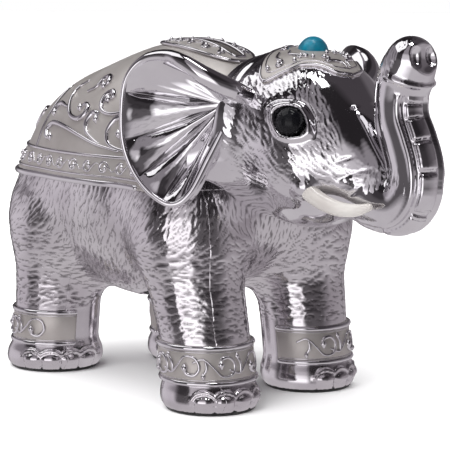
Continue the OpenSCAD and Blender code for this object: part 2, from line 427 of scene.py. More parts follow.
HAIR_DEPTH = 0.22
STROKE_HALF_W = 0.27


def engrave(p, n, flow, mask, seed, spacing=2.1, length=5.0):
    """Depths of short curved strokes that follow a flow over the surface."""
    cut = np.zeros(len(p))
    rng = np.random.default_rng(seed)
    chosen = np.flatnonzero(mask > 0.05)
    tree = kdtree.KDTree(len(chosen))
    for i in chosen:
        tree.insert(p[i], i)
    tree.balance()
    order = rng.permutation(chosen)
    cells = np.floor(p[order] / spacing).astype(np.int64)
    keys = cells[:, 0] * 1000003 + cells[:, 1] * 1009 + cells[:, 2]
    centres = order[np.unique(keys, return_index=True)[1]]
    along_all = unit(flow - n * (flow * n).sum(1, keepdims=True))
    for c in centres:
        turn = rng.normal(0, 0.16)
        along = along_all[c]
        across = np.cross(n[c], along)
        along, across = (
            along * math.cos(turn) + across * math.sin(turn),
            across * math.cos(turn) - along * math.sin(turn),
        )
        half = length / 2 * rng.uniform(0.7, 1.2)
        found = tree.find_range(p[c], half)
        index = np.fromiter((f[1] for f in found), np.int64, len(found))
        gap = p[index] - p[c]
        s = gap @ along / half
        t = gap @ across - 0.35 * s * s
        shape = np.exp(-((t / STROKE_HALF_W) ** 2)) * np.clip(1 - s * s, 0, 1) * (0.75 - 0.25 * s)
        cut[index] = np.minimum(cut[index], -HAIR_DEPTH * shape * mask[index])
    return cut


def ramp(value, low, high):
    t = np.clip((value - low) / (high - low), 0, 1)
    return t * t * (3 - 2 * t)


def bell(value, centre, width):
    return np.exp(-(((value - centre) / width) ** 2))


# ---------------------------------------------------------------- materials


def principled(name):
    material = bpy.data.materials.new(name)
    material.use_nodes = True
    tree = material.node_tree
    return material, tree, tree.nodes["Principled BSDF"]


def give(tree, node, inputs):
    """Links the inputs that are given as sockets and sets the others to the values given."""
    for name, value in inputs.items():
        if isinstance(value, bpy.types.NodeSocket):
            tree.links.new(value, node.inputs[name])
        else:
            node.inputs[name].default_value = value


def add(tree, kind, inputs={}, **settings):
    node = tree.nodes.new(kind)
    for key, value in settings.items():
        setattr(node, key, value)
    give(tree, node, inputs)
    return node


def noise_fac(tree, scale, detail):
    """Noise in object space."""
    place = add(tree, "ShaderNodeTexCoord").outputs["Object"]
    return add(tree, "ShaderNodeTexNoise", {"Vector": place, "Scale": scale, "Detail": detail}).outputs["Fac"]


def colour_ramp(tree, fac, stops):
    """A colour ramp through stops of (position, colour)."""
    node = add(tree, "ShaderNodeValToRGB", {"Fac": fac})
    elements = node.color_ramp.elements
    while len(elements) < len(stops):
        elements.new(0.5)
    for element, (position, colour) in zip(elements, stops):
        element.position = position
        element.color = (*colour, 1)
    return node.outputs["Color"]


def mottled(tree, scale, detail, low, high):
    """Noise, and clouds between two colours that follow it."""
    noise = noise_fac(tree, scale, detail)
    return noise, colour_ramp(tree, noise, ((0.35, low), (0.65, high)))


def bumped(tree, height, strength, distance):
    node = add(tree, "ShaderNodeBump", {"Height": height, "Strength": strength, "Distance": distance})
    return node.outputs["Normal"]


def map_range(tree, value, **limits):
    """A map range node's result. The limits' names are the sockets' names with underscores."""
    inputs = {key.replace("_", " "): limit for key, limit in limits.items()}
    return add(tree, "ShaderNodeMapRange", {"Value": value, **inputs}).outputs["Result"]


# Painted shade in hollows: grooves are mixed toward this dark colour, by their depth between the shallow and
# the deep limit.
GROOVE_SHALLOW, GROOVE_DEEP = 0.25, 0.8
GROOVE_SHADE = 0.85
GROOVE_SHADE_COLOUR = (0.10, 0.09, 0.095, 1)


def plated(name, low, high, rough, spread, grain, metallic=1.0):
    """Plated metal with slight tarnish clouds, painted shade in its grooves, uneven polish and a fine
    texture.
    """
    material, tree, shader = principled(name)
    noise, colour = mottled(tree, 60, 4, low, high)
    groove = add(tree, "ShaderNodeAttribute", attribute_name="groove").outputs["Fac"]
    depth = map_range(tree, groove, From_Min=GROOVE_SHALLOW, From_Max=GROOVE_DEEP, To_Max=GROOVE_SHADE)
    # Painted shade: the base colour turns darker in the grooves.
    groove_shading = {"Factor": depth, "A": colour, "B": GROOVE_SHADE_COLOUR}
    surface = {
        "Base Color": add(tree, "ShaderNodeMix", groove_shading, data_type="RGBA").outputs["Result"],
        "Metallic": metallic,
        "Roughness": map_range(tree, noise, To_Min=rough, To_Max=rough + spread),
        "Normal": bumped(tree, noise_fac(tree, 900, 2), grain, 0.0001),
    }
    give(tree, shader, surface)
    return material


def lacquered(name, low, high, rough, scale, coat=0.0, sheen=0.0, gloss=0.5):
    """A non-metal with a mottled colour: resin, stone, glass, felt or rubber."""
    material, tree, shader = principled(name)
    noise, colour = mottled(tree, scale, 5, low, high)
    surface = {
        "Base Color": colour,
        "Roughness": rough,
        "Coat Weight": coat,
        "Coat Roughness": 0.04,
        "Sheen Weight": sheen,
        "Specular IOR Level": gloss,
        "Normal": bumped(tree, noise, 0.08, 0.0002),
    }
    give(tree, shader, surface)
    return material


silver = plated("silver", (0.66, 0.63, 0.66), (0.80, 0.78, 0.80), 0.10, 0.08, 0.03)
mirror_silver = plated("mirror_silver", (0.74, 0.72, 0.75), (0.84, 0.83, 0.85), 0.04, 0.04, 0.01)
satin = plated("satin_champagne", (0.46, 0.43, 0.41), (0.58, 0.55, 0.53), 0.38, 0.12, 0.25, 0.8)
ivory = lacquered("pearl_ivory", (0.36, 0.335, 0.32), (0.45, 0.43, 0.41), 0.22, 90, 0.6)
black_bead = lacquered("black_bead", (0.002, 0.002, 0.003), (0.006, 0.006, 0.007), 0.07, 200, gloss=0.2)
turquoise = lacquered("turquoise", (0.0, 0.075, 0.12), (0.0, 0.14, 0.21), 0.3, 260, 0.2)
felt = lacquered("black_felt", (0.008, 0.008, 0.008), (0.03, 0.03, 0.03), 0.95, 900, 0, 0.3)
rubber = lacquered("rubber", (0.02, 0.02, 0.02), (0.045, 0.045, 0.045), 0.6, 300)

# ---------------------------------------------------------------- body below the cloth

SEAM_X = 29.5
CLOTH_T = 1.2
CLOTH_FRONT_Y = -35
BODY_STEP = 0.53
BODY_BOX = ((-43, -61, 0), (43, 72, CLOTH_Z + 3))
SHOULDER_BOX = ((-43, -61, CLOTH_Z - 1), (43, CLOTH_FRONT_Y + 4, 100))


def body_flow(p, n):
    """Hair runs round the legs and slants down and back over the flanks."""
    flow = np.tile([0.0, 0.42, -0.9], (len(p), 1))
    for (side, end), foot in FEET.items():
        axis_y = leg_axis_y(side, end, np.clip(p[:, 2], 1, 58))
        away = np.hypot(p[:, 0] - foot[0], p[:, 1] - axis_y) - 17
        weight = (1 - ramp(away, 0, 9)) * (1 - ramp(p[:, 2], 46, 64))
        round_leg = np.cross(n, [0, 0, 1.0])
        round_leg *= np.sign(round_leg[:, 1:2] + 1e-6)
        round_leg[:, 2] = -0.12 + 0.25 * np.sin(p[:, 2] / 5 + p[:, 0] / 6)
        flow = flow * (1 - weight[:, None]) + round_leg * weight[:, None]
    return flow


def casting_shape(p):
    """The body with the filler hole and its flat recess in the belly."""
    away = np.hypot(p[:, 0], p[:, 1] - PLUG_Y)
    hole = np.maximum(away - PLUG_R - 0.4, p[:, 2] - FLANGE_TOP - 18)
    recess = np.maximum(away - FLANGE_R - 0.4, p[:, 2] - FLANGE_TOP)
    return smooth_cut(body(p), np.minimum(hole, recess), 0.5)


NAIL_Z, NAIL_HALF_W, NAIL_HALF_H = 4.7, 3.1, 1.5
NAILS = {
    (RIGHT, FRONT): (48, 22, -4, -30),
    (LEFT, FRONT): (20, -4, -28, -52),
    (RIGHT, REAR): (64, 40, 16, -8),
    (LEFT, REAR): (8, -16, -40, -64),
}
SOLE_R = 15.8


def foot_relief(p):
    """Toenails under a wavy cuticle ridge, with short grooves from the ridge to the sole."""
    height = np.zeros(len(p))
    low = p[:, 2] < ANKLET_Z0 + 0.5
    for (side, end), azimuths in NAILS.items():
        foot = FEET[side, end]
        near = low & (np.hypot(p[:, 0] - foot[0], p[:, 1] - foot[1]) < 20)
        q = p[near] - foot
        facing = np.degrees(np.arctan2(-q[:, 0], -q[:, 1]))
        v = p[near, 2] - NAIL_Z
        bump = np.zeros(near.sum())
        ridge_z = np.full(near.sum(), 0.4)
        inside = np.zeros(near.sum())
        for azimuth in azimuths:
            u = np.radians((facing - azimuth + 180) % 360 - 180) * SOLE_R
            reach = np.hypot(u / NAIL_HALF_W, v / NAIL_HALF_H)
            bump += 0.95 * np.sqrt(np.clip(1 - reach**2, 0, 1))
            ridge_z = np.maximum(ridge_z, 2.7 * np.sqrt(np.clip(1 - (u / 3.9) ** 2, 0, 1)))
            inside = np.maximum(inside, 1 - ramp(np.abs(u), 3.6, 5.4))
            bump -= 0.45 * bell(np.abs(u), 3.3, 0.3) * (v < -0.6)
        bump += 0.75 * inside * bell(v, ridge_z, 0.55)
        height[near] = bump
    return height


points, quads = skin(casting_shape, *BODY_BOX, BODY_STEP)
points, normals = settle(casting_shape, points)
belly_gap = np.hypot(points[:, 0], points[:, 1] - PLUG_Y) - FLANGE_R
hair_mask = ramp(points[:, 2], ANKLET_Z1 + 0.5, ANKLET_Z1 + 2)
hair_mask *= np.maximum(ramp(belly_gap, 1, 4), ramp(points[:, 2], 40, 44))
fold = bell(points[:, 1] + 51.5 + 1.6 * np.sin(points[:, 2] / 9), 0, 1.6)
fold *= (points[:, 0] < 0) * ramp(-points[:, 0], 21, 24)
fold *= ramp(points[:, 2], 26, 34) * (1 - ramp(points[:, 2], 48, 54))
relief = foot_relief(points) + 0.6 * fold
hair = engrave(points, normals, body_flow(points, normals), hair_mask, 7)
points = points + normals * (relief + hair)[:, None]
# The hair strokes' depth is also painted into them as shade.
casting = mesh_object("casting", points, quads, -hair / HAIR_DEPTH)
cut_flat(casting, (0, 0, CLOTH_Z + 1), (0, 0, 1))
for name, node, cuts in (
    ("body_right", "body_side_right", [(-SEAM_X, 1)]),
    ("body_left", "body_side_left", [(SEAM_X, -1)]),
    ("body_under", "underbody", [(-SEAM_X, -1), (SEAM_X, 1)]),
):
    part = placed(name, casting.data.copy())
    for x, away in cuts:
        cut_flat(part, (x, 0, 0), (away, 0, 0))
    finish_piece(part, silver, "silver", node)
bpy.data.objects.remove(casting)

# The shoulders' tops, between the cloth's front edge and the head
points, quads = skin(body, *SHOULDER_BOX, BODY_STEP)
points, normals = settle(body, points)
hair = engrave(points, normals, body_flow(points, normals), np.ones(len(points)), 9)
# The hair strokes' depth is also painted into them as shade.
shoulder_top = mesh_object("shoulder_top", points + normals * hair[:, None], quads, -hair / HAIR_DEPTH)
cut_flat(shoulder_top, (0, 0, CLOTH_Z + 1), (0, 0, -1))
cut_flat(shoulder_top, (0, CLOTH_FRONT_Y + 1, 0), (0, 1, 0))
finish_piece(shoulder_top, silver, "silver")

# ---------------------------------------------------------------- saddle cloth



SLOT_HALF_W, SLOT_HALF_L = 2.5, 16.5
SLOT_FLOOR = 76
SLOT_GAP = 0.6
CLOTH_STEP = 1.0
CLOTH_BOX = ((-44, -52, CLOTH_Z - 3), (44, 72, 116))


def cloth_surface(p):
    return body(p) - CLOTH_T


def cloth_shape(p):
    across = np.abs(p[:, 0]) - SLOT_HALF_W - SLOT_GAP
    along = np.abs(p[:, 1] - SLOT_Y) - SLOT_HALF_L - SLOT_GAP
    slot = np.maximum(across, along)
    return np.maximum(cloth_surface(p), -np.maximum(slot, SLOT_FLOOR - p[:, 2]))


points, quads = skin(cloth_shape, *CLOTH_BOX, CLOTH_STEP)
points, normals = settle(cloth_shape, points)
cloth = mesh_object("cloth", points, quads)
cut_flat(cloth, (0, 0, CLOTH_Z), (0, 0, -1))
cut_flat(cloth, (0, CLOTH_FRONT_Y, 0), (0, -1, 0))
finish_piece(cloth, satin, "satin_silver", "saddle_cloth")

# ---------------------------------------------------------------- head

HEAD_STEP = 0.49
HEAD_BOX = ((-37, -116, 54), (37, -14, 120))
PLATE_LENGTH = 7.2
PLATE_HALF_WIDTH = 3.3
CHANNEL_TURN = math.radians(14)
TRUNK_TANGENT = unit(np.gradient(TRUNK[:, :3], axis=0))
TRUNK_RUN = np.concatenate([[0], np.cumsum(np.linalg.norm(np.diff(TRUNK[:, :3], axis=0), axis=1))])
EYE_OUT = unit(np.array([0.80, -0.58, 0.14]))
EYE_TILT = math.radians(32)
LID_HALF_W, LID_HALF_H = 5.7, 4.3
LID_POWER = 1.6
# Creases beside the tusk: two ends and a depth
CREASES = (
    ([13.8, -87.5, 75.0], [8.6, -96.4, 78.4], 0.75),
    ([12.0, -91.0, 70.0], [10.0, -95.6, 73.4], 0.6),
    ([15.5, -84.5, 78.5], [10.5, -92.5, 82.2], 0.5),
)


def eye_place(p, side):
    """Places round an eye: ahead along the lid and up across it, in millimetres."""
    q = (p - mirrored(EYE_AT, side)) * [side, 1, 1]
    ahead = unit(np.cross([0, 0, 1.0], EYE_OUT))
    if ahead[1] > 0:
        ahead = -ahead
    up = unit(np.cross(EYE_OUT, ahead))
    up = up * np.sign(up[2])
    u, v = q @ ahead, q @ up
    turned_u = u * math.cos(EYE_TILT) - v * math.sin(EYE_TILT)
    return turned_u, u * math.sin(EYE_TILT) + v * math.cos(EYE_TILT)


def trunk_place(p):
    """Run along the trunk, arc distance from its channel's middle and radius there."""
    run = np.zeros(len(p))
    arc = np.full(len(p), 99.0)
    for part in np.array_split(np.arange(len(p)), max(1, len(p) // 20000)):
        gap = p[part][:, None] - TRUNK[None, :, :3]
        nearest = (gap * gap).sum(2).argmin(1)
        c, t = TRUNK[nearest], TRUNK_TANGENT[nearest]
        front = unit(np.cross([1.0, 0, 0], t))
        q = p[part] - c[:, :3]
        run[part] = TRUNK_RUN[nearest] + (q * t).sum(1)
        angle = np.arctan2(-q[:, 0], (q * front).sum(1)) - CHANNEL_TURN
        arc[part] = angle * c[:, 3]
    return run, arc


def line_gap(p, a, b):
    a, b = np.array(a, float), np.array(b, float)
    t = np.clip((p - a) @ (b - a) / ((b - a) @ (b - a)), 0, 1)
    return np.linalg.norm(p - a - t[:, None] * (b - a), axis=1), t


def eye_relief(p, side):
    """Height of an eye's lids, crease and socket, and how bare of hair their surroundings are."""
    u, v = eye_place(p, side)
    near = p[:, 0] * side > 6
    reach = (np.abs(u / LID_HALF_W) ** LID_POWER + np.abs(v / LID_HALF_H) ** LID_POWER) ** (1 / LID_POWER)
    edge = ramp(reach, 0.9, 1.06)
    upper = ramp(v, -1.5, 1.0)
    fall = 1 - ramp(reach, 1.16, 1.5 + 0.15 * upper)
    lid = (1.1 + 0.4 * upper) * edge * fall - 0.3 * bell(reach, 1.66, 0.1) * upper
    crease = -0.35 * bell(v, 6.3 - u * u / 16, 0.4) * (1 - ramp(np.abs(u + 1), 3.5, 6.5))
    socket = -2.2 * (1 - edge) * (reach < 1.06)
    return near * (lid + crease + socket), near * (1 - ramp(reach, 1.5, 1.8))


def trunk_relief(p):
    """Height of the trunk's plates, their channel and its rails, and where the trunk has hair."""
    run, arc = trunk_place(p)
    start, stop = TRUNK_RUN[-1] * 0.26, TRUNK_RUN[-1] - 8
    inside = ramp(run, start, start + 3) * (1 - ramp(run, stop - 2, stop))
    across = np.abs(arc)
    phase = ((run - start) / PLATE_LENGTH) % 1.0
    joint = np.minimum(phase, 1 - phase) * PLATE_LENGTH
    plate = 1 - ramp(across, PLATE_HALF_WIDTH - 0.9, PLATE_HALF_WIDTH + 0.2)
    plate = plate * ramp(joint, 0.1, 1.1)
    rail = bell(across, PLATE_HALF_WIDTH + 2.2, 0.9)
    channel = 1 - ramp(across, PLATE_HALF_WIDTH + 0.5, PLATE_HALF_WIDTH + 1.8)
    lip = 0.9 * bell(run, TRUNK_RUN[-1] - 4.5, 1.1) * (1 - ramp(across, 9, 13))
    return inside * (1.2 * plate - 0.8 * channel + 0.6 * rail) + lip, ramp(across, 8.5, 11)


def head_relief(p):
    """Raised and sunk detail on the head, and how much hair it carries, with the hair's way."""
    height = np.zeros(len(p))
    hair = ramp(p[:, 2], 70, 75) * ramp(-p[:, 1], 49, 56)
    x, y, z = np.abs(p[:, 0]), p[:, 1], p[:, 2]
    flow = np.stack([np.sign(p[:, 0]) * 0.1, -0.75 - 0 * x, -0.55 - 0.02 * (z - 85)], 1)
    for side in (RIGHT, LEFT):
        eye_height, bare = eye_relief(p, side)
        height += eye_height
        hair *= 1 - bare
        for a, b, depth in CREASES:
            gap, t = line_gap(p, mirrored(a, side), mirrored(b, side))
            height -= depth * np.exp(-((gap / 0.55) ** 2)) * np.sin(np.pi * np.clip(t, 0.04, 0.96))
    bridge = (1 - ramp(x, 4.5, 8.5)) * ramp(-y, 76, 84) * ramp(-z, -100, -88) * ramp(z, 74, 79)
    height += 0.55 * bridge
    smooth_front = (1 - ramp(x, 11, 15)) * ramp(z, 76, 82) * ramp(-y, 66, 74)
    fringe = (1 - ramp(x, 17, 20)) * ramp(z, 103.5, 105.5)
    hair *= 1 - smooth_front * (1 - 0.8 * fringe)
    nape = ramp(z, 92, 97) * ramp(y, -53, -49) * (1 - ramp(x, 14, 22))
    height += 0.4 * nape * np.sin((y + 2.2 * np.sin(p[:, 0] / 9)) / 6.4 * 2 * np.pi)
    ahead = y < -84
    trunk_height, behind = trunk_relief(p[ahead])
    height[ahead] += trunk_height
    on_trunk = ramp(-y[ahead], 93, 97)
    hair[ahead] *= 1 - on_trunk * (1 - behind)
    along = np.tile([0.0, 0.15, 1.0], (ahead.sum(), 1))
    weight = (on_trunk * behind)[:, None]
    flow[ahead] = flow[ahead] * (1 - weight) + along * weight
    return height, hair, flow


points, quads = skin(head, *HEAD_BOX, HEAD_STEP)
points, normals = settle(head, points)
height, hair, flow = head_relief(points)
strokes = engrave(points, normals, flow, hair, 11, 2.0, 4.2)
points = points + normals * (height + strokes)[:, None]
# The hair strokes' depth is also painted into them as shade.
head_piece = mesh_object("head", points, quads, -strokes / HAIR_DEPTH)
finish_piece(head_piece, mirror_silver, "silver", "head_shell")

# ---------------------------------------------------------------- swept beads


def loft(name, stacks):
    """One object of closed tubes. Each stack is rings of points, shaped rings x sides x 3."""
    vertices, faces, base = [], [], 0
    for rings in stacks:
        count, sides = rings.shape[:2]
        i, j = np.meshgrid(np.arange(count - 1), np.arange(sides), indexing="ij")
        a = base + i * sides + j
        b = base + i * sides + (j + 1) % sides
        faces += np.stack([a, b, b + sides, a + sides], -1).reshape(-1, 4).tolist()
        faces.append(list(range(base, base + sides)))
        faces.append(list(range(base + (count - 1) * sides, base + count * sides)))
        vertices.append(rings.reshape(-1, 3))
        base += count * sides
    mesh = bpy.data.meshes.new(name)
    mesh.from_pydata(((np.vstack(vertices) + FEET_SHIFT) * MM).tolist(), [], faces)
    mesh.polygons.foreach_set("use_smooth", np.ones(len(mesh.polygons), bool))
    edit(mesh, lambda work: bmesh.ops.recalc_face_normals(work, faces=work.faces[:]))
    return placed(name, mesh)


ROUND_END = ((0.97, 0.24), (0.85, 0.53), (0.6, 0.8))


def sweep(name, runs, sides=10):
    """One object of round beads. Each run is rows of x, y, z and radius, with rounded ends."""
    turn = np.linspace(0, 2 * np.pi, sides, endpoint=False)
    stacks = []
    for path in runs:
        path = np.asarray(path, float)
        tangent = unit(np.gradient(path[:, :3], axis=0))
        first, last, end_r = path[0], path[-1], path[[0, -1], 3]
        head_rows = [np.append(first[:3] - tangent[0] * end_r[0] * a, end_r[0] * b) for a, b in ROUND_END]
        tail_rows = [np.append(last[:3] + tangent[-1] * end_r[1] * a, end_r[1] * b) for a, b in ROUND_END]
        rows = np.vstack([head_rows, path, tail_rows[::-1]])
        tangent = np.vstack([tangent[:1]] * 3 + [tangent] + [tangent[-1:]] * 3)
        u = unit(np.cross(tangent, [0.3, 0.2, 1.0]))
        v = np.cross(tangent, u)
        ring = np.cos(turn)[:, None] * u[:, None] + np.sin(turn)[:, None] * v[:, None]
        stacks.append(rows[:, None, :3] + rows[:, None, 3:] * ring)
    return loft(name, stacks)


def beading(name, runs, sides=10):
    """A piece of polished beads with no CAD node of its own."""
    finish_piece(sweep(name, runs, sides), mirror_silver, "silver")


def ball(centre, radius):
    """A short run that closes into a ball."""
    t = np.linspace(-0.85, 0.85, 7)[:, None]
    rows = np.asarray(centre, float) + t * radius * [0, 0.2, 1.0]
    return np.hstack([rows, radius * np.sqrt(1 - t * t)])


CURL_POINTS = 18


def curl(centre, start_r, end_r, start_deg, turns, tail):
    """A plane spiral that opens out from its middle, then runs on through the tail's points."""
    t = np.linspace(0, 1, CURL_POINTS)
    angle = np.radians(start_deg) + turns * 2 * np.pi * t
    r = start_r + (end_r - start_r) * t
    line = np.stack([centre[0] + r * np.cos(angle), centre[1] + r * np.sin(angle)], 1)
    return np.vstack([line, spline(np.vstack([line[-1], tail]), 8 * len(tail) + 6)[1:]])


def on_flank(line, side, lift=0.25):
    """Lays a line of (y, z) places on the cloth's side."""
    reach = np.interp(line[:, 1], [60, 85, 100, 108], [40, 38, 28, 14])
    p = np.stack([side * reach, line[:, 0], line[:, 1]], 1)
    for _ in range(14):
        d = cloth_surface(p) - lift
        g = gradient(cloth_surface, p)
        slope = np.where(np.abs(g[:, 0]) > 0.3, g[:, 0], 0.3 * side)
        p[:, 0] -= np.clip(d / slope, -4, 4)
    return p


BEAD_START, BEAD_END = 0.45, 0.35


def tapered_bead(points, thick):
    """A bead that is thickest along its middle and thin at its start and its end."""
    t = np.linspace(0, 1, len(points))
    swell = np.sin(np.pi * np.clip(t * 0.92 + 0.04, 0, 1)) ** 0.7
    ends = BEAD_START * (1 - t) + BEAD_END * t
    return with_radius(points, thick * (ends + (1 - ends) * swell))


FIELD_Z = 77
FRAME_Y = 34
POST_TOP_Z = 97
BEHIND_Y, ABOVE_Z = 74.0, 114.0
SCROLLS = (
    # (y, z) places from the ball at the middle of each scroll out along its stem
    (
        (24.6, 81.2), (27.2, 81.0), (28.9, 83.4), (26.6, 85.4), (22.5, 85.6), (15, 84.6), (7, 82.8),
        (-2, 80.6), (-12, 79),
    ),
    ((1.8, 88.2), (2.4, 90), (4.8, 89.9), (5.9, 87), (4.4, 84.5), (1.6, 82.8), (-3, 80.8)),
    (
        (-10.6, 84.2), (-12.2, 86.4), (-10.6, 89.4), (-7.4, 88.8), (-5.6, 85.2), (-7, 81.6),
        (-11, 79.8), (-17, 79),
    ),
    (
        (13.3, 91.2), (11.2, 92.6), (8.6, 91.4), (9, 89), (12, 87.8), (16.5, 88.6), (20.6, 91),
        (24, 94.4), (24.2, 97.4), (21, 99.4),
    ),
    ((29.4, 88.6), (30.2, 90.6), (27.8, 91.8), (24.4, 91.4), (20.6, 91)),
    (
        (0.4, 94.5), (-1.2, 95.6), (0.2, 97), (2.6, 95.6), (2.5, 92.8), (0, 90.8), (-4, 90.2),
        (-8.5, 91), (-12, 93),
    ),
    ((7.4, 98.4), (6.2, 99.8), (8, 101.4), (10.6, 100.4), (11.6, 98), (15, 96.4)),
    (
        (-19, 85.6), (-20.6, 87.6), (-18.4, 90), (-15.2, 88.6), (-14.6, 84.6), (-17, 81.2),
        (-22, 79.4),
    ),
    ((-14.5, 96.4), (-16.2, 95), (-14.6, 93), (-11.6, 93.4), (-9.5, 95.6), (-6, 98)),
)  # fmt: skip
REAR_SCROLLS = (
    # (x, z) places on the rump
    ((9.5, 86), (11.4, 87.4), (10.6, 89.8), (7.6, 89.6), (6.2, 86.6), (8, 83), (13, 80.6), (19, 79.4)),
    ((6, 95.4), (4.2, 94.4), (4.4, 92), (7, 91.6), (9.6, 93.4), (12.6, 93.6), (14.6, 91)),
    ((19.8, 85.4), (18.2, 86.8), (19.6, 88.6), (22, 87.2), (22.4, 83.6), (20, 80.6)),
    ((2.4, 84.6), (0.9, 83.6), (1.6, 81.8), (4, 81.6), (5.2, 79.6)),
)
SCROLL_BALL_R = 1.15
BORDER_Z = 73.6
BORDER_PITCH = 7.2
BORDER_SCALE = 0.62
BORDER_BALL_R = 0.85
BORDER_FLANK_Y, BORDER_RUMP_X = 28.5, 3.4
RUNNING_SCROLL = (
    (-8.4, -1.0), (-5.6, -1.9), (-3.2, 0.2), (-1.0, 2.5), (1.8, 2.1), (2.7, -0.3), (1.2, -2.2), (-0.9, -1.9),
    (-1.2, -0.5),
)  # fmt: skip


def stem_radius(count, thin, thick):
    """Thin at the scroll's ball and at the end of its stem, and thick on its first bend."""
    t = np.linspace(0, 1, count)
    return thin + (thick - thin) * ramp(t, 0.02, 0.2) * (1 - ramp(t, 0.35, 1.0))


def level_ring(z, lift):
    """A line on the cloth at one height, from the front edge round the back to the other side."""
    angle = np.linspace(-0.34, 1.34, 220) * np.pi
    p = np.stack([38 * np.cos(angle), 12 + 48 * np.sin(angle), np.full(len(angle), float(z))], 1)
    for _ in range(16):
        d = cloth_surface(p) - lift
        g = gradient(cloth_surface, p)
        flat = g * [1, 1, 0]
        size = np.maximum((flat * flat).sum(1, keepdims=True), 0.15)
        p -= flat / size * np.clip(d, -3, 3)[:, None]
    return p[p[:, 1] > CLOTH_FRONT_Y + 1]


def with_radius(p, radius):
    """Rows of x, y, z and radius, from places and one radius or a radius for each."""
    return np.column_stack([p, np.broadcast_to(np.asarray(radius, float), len(p))])


def on_rump(line, lift=0.25):
    """Lays a line of (x, z) places on the cloth over the rump."""
    return press(cloth_surface, np.insert(line, 1, BEHIND_Y, axis=1), 1, lift)


def scroll_runs(lines, place):
    runs = []
    for line in lines:
        path = spline(line, 8 * len(line))
        runs.append(with_radius(place(path), stem_radius(len(path), 0.5, 1.05)))
        runs.append(ball(place(path[:1])[0], SCROLL_BALL_R))
    return runs


def border_runs(across, starts, place):
    """The border's running scroll, turned over at every other step."""
    stem = spline(RUNNING_SCROLL, 44)[::-1] * BORDER_SCALE
    runs = []
    for k, start in starts:
        line = stem * [across, 1 if k % 2 else -1] + [start, BORDER_Z]
        runs.append(with_radius(place(line, 0.1), stem_radius(len(line), 0.22, 0.55)))
        runs.append(ball(place(line[:1], 0.3)[0], BORDER_BALL_R))
    return runs


for side in (RIGHT, LEFT):
    label = SIDE_NAMES[side]
    runs = scroll_runs(SCROLLS, lambda line: on_flank(line, side))
    runs += scroll_runs(REAR_SCROLLS, lambda line: on_rump(line * [side, 1]))
    beading(f"cloth_scrolls_{label}", runs)
    flank_starts = [(k, BORDER_FLANK_Y - BORDER_PITCH * k) for k in range(-2, 8)]
    rump_starts = [(k, side * (BORDER_RUMP_X + BORDER_PITCH * k)) for k in range(5)]
    runs = border_runs(1, flank_starts, lambda line, lift: on_flank(line, side, lift))
    runs += border_runs(side, rump_starts, on_rump)
    beading(f"cloth_border_{label}", runs, 8)
    post = np.stack([np.full(26, float(FRAME_Y)), np.linspace(FIELD_Z, POST_TOP_Z, 26)], 1)
    beading(f"cloth_post_{label}", [with_radius(on_flank(post, side, 0.1), 0.55)])

# Each moulding's height, its lift off the cloth and its radius
MOULDINGS = ((CLOTH_Z + 0.5, -0.2, 1.05), (CLOTH_Z + 2.7, 0.0, 0.4), (FIELD_Z, 0.1, 0.6))
rings = [with_radius(level_ring(z, lift), radius) for z, lift, radius in MOULDINGS]
beading("cloth_mouldings", rings, 12)

# ---------------------------------------------------------------- ears

EAR_RIM = spline(
    [
        [23, -58.5, 98], [30.5, -58, 101], [36, -54, 104.5], [39, -47.5, 108.5],
        [40.4, -40.5, 110.2], [43, -33.5, 109], [45.3, -29, 104.5], [46.2, -27, 98],
        [46.4, -27, 85], [45, -30, 75.5], [42.6, -35.5, 68.5], [39.3, -42, 65],
        [35.2, -46, 68.5], [30.2, -48.8, 79], [26.3, -51.2, 88],
    ],
    281,
)  # fmt: skip
EAR_ROLL_R = (3.0, 3.2, 2.9, 2.3, 1.7, 1.2, 0.9, 0.8, 0.8, 0.85, 0.9, 0.95, 1.2, 1.6, 1.2)
EAR_HUB = np.array([25.5, -51.0, 95.5])
EAR_OUT = unit(np.array([0.70, -0.70, 0.12]))
EAR_T = 2.2
FIRST_CREASE, CREASE_GAP = 6.9, 1.22
BOWL_DEPTH, FLUTE_DEPTH, SHELF_LIFT = 3.8, 2.4, 1.3
EAR_ROWS = 78


def ear_sheet(side):
    """The ear's dished and fluted face, how hairy it is and how much painted shade lies in its flutes'
    valleys, place by place.
    """
    index = np.linspace(0, 14, len(EAR_RIM))[None, :]
    out = np.linspace(0.0, 1.0, EAR_ROWS)[:, None]
    rim = EAR_RIM[None, :, :]
    p = EAR_HUB + (rim - EAR_HUB) * out[:, :, None]
    reach = np.clip(np.linalg.norm(EAR_RIM - EAR_HUB, axis=1) / 26, 0, 1)[None, :]
    bowl = -BOWL_DEPTH * reach * np.sin(np.pi * out**1.25)
    bowl = bowl * ramp(index, 0.2, 3.5) * (1 - 0.5 * ramp(index, 12, 14))
    phase = (index - FIRST_CREASE) / CREASE_GAP
    fold = np.abs(np.sin(np.pi * phase)) ** 0.75
    fluted = ramp(index, FIRST_CREASE - 1.2, FIRST_CREASE) * (1 - ramp(index, 13.2, 14))
    swell = ramp(out, 0.04, 0.4) * (1 - 0.7 * ramp(out, 0.86, 1.0))
    flute = FLUTE_DEPTH * reach * (fold - 0.55) * fluted * swell
    valley_shade = fluted * swell * (1 - ramp(fold, 0.12, 0.42))
    shelf = SHELF_LIFT * reach * ramp(index, 3.5, 5.0) * (1 - fluted) * swell
    p = p + EAR_OUT * (bowl + flute + shelf)[:, :, None]
    return p * [side, 1, 1], 0.35 * fluted * swell * (index > 0), valley_shade


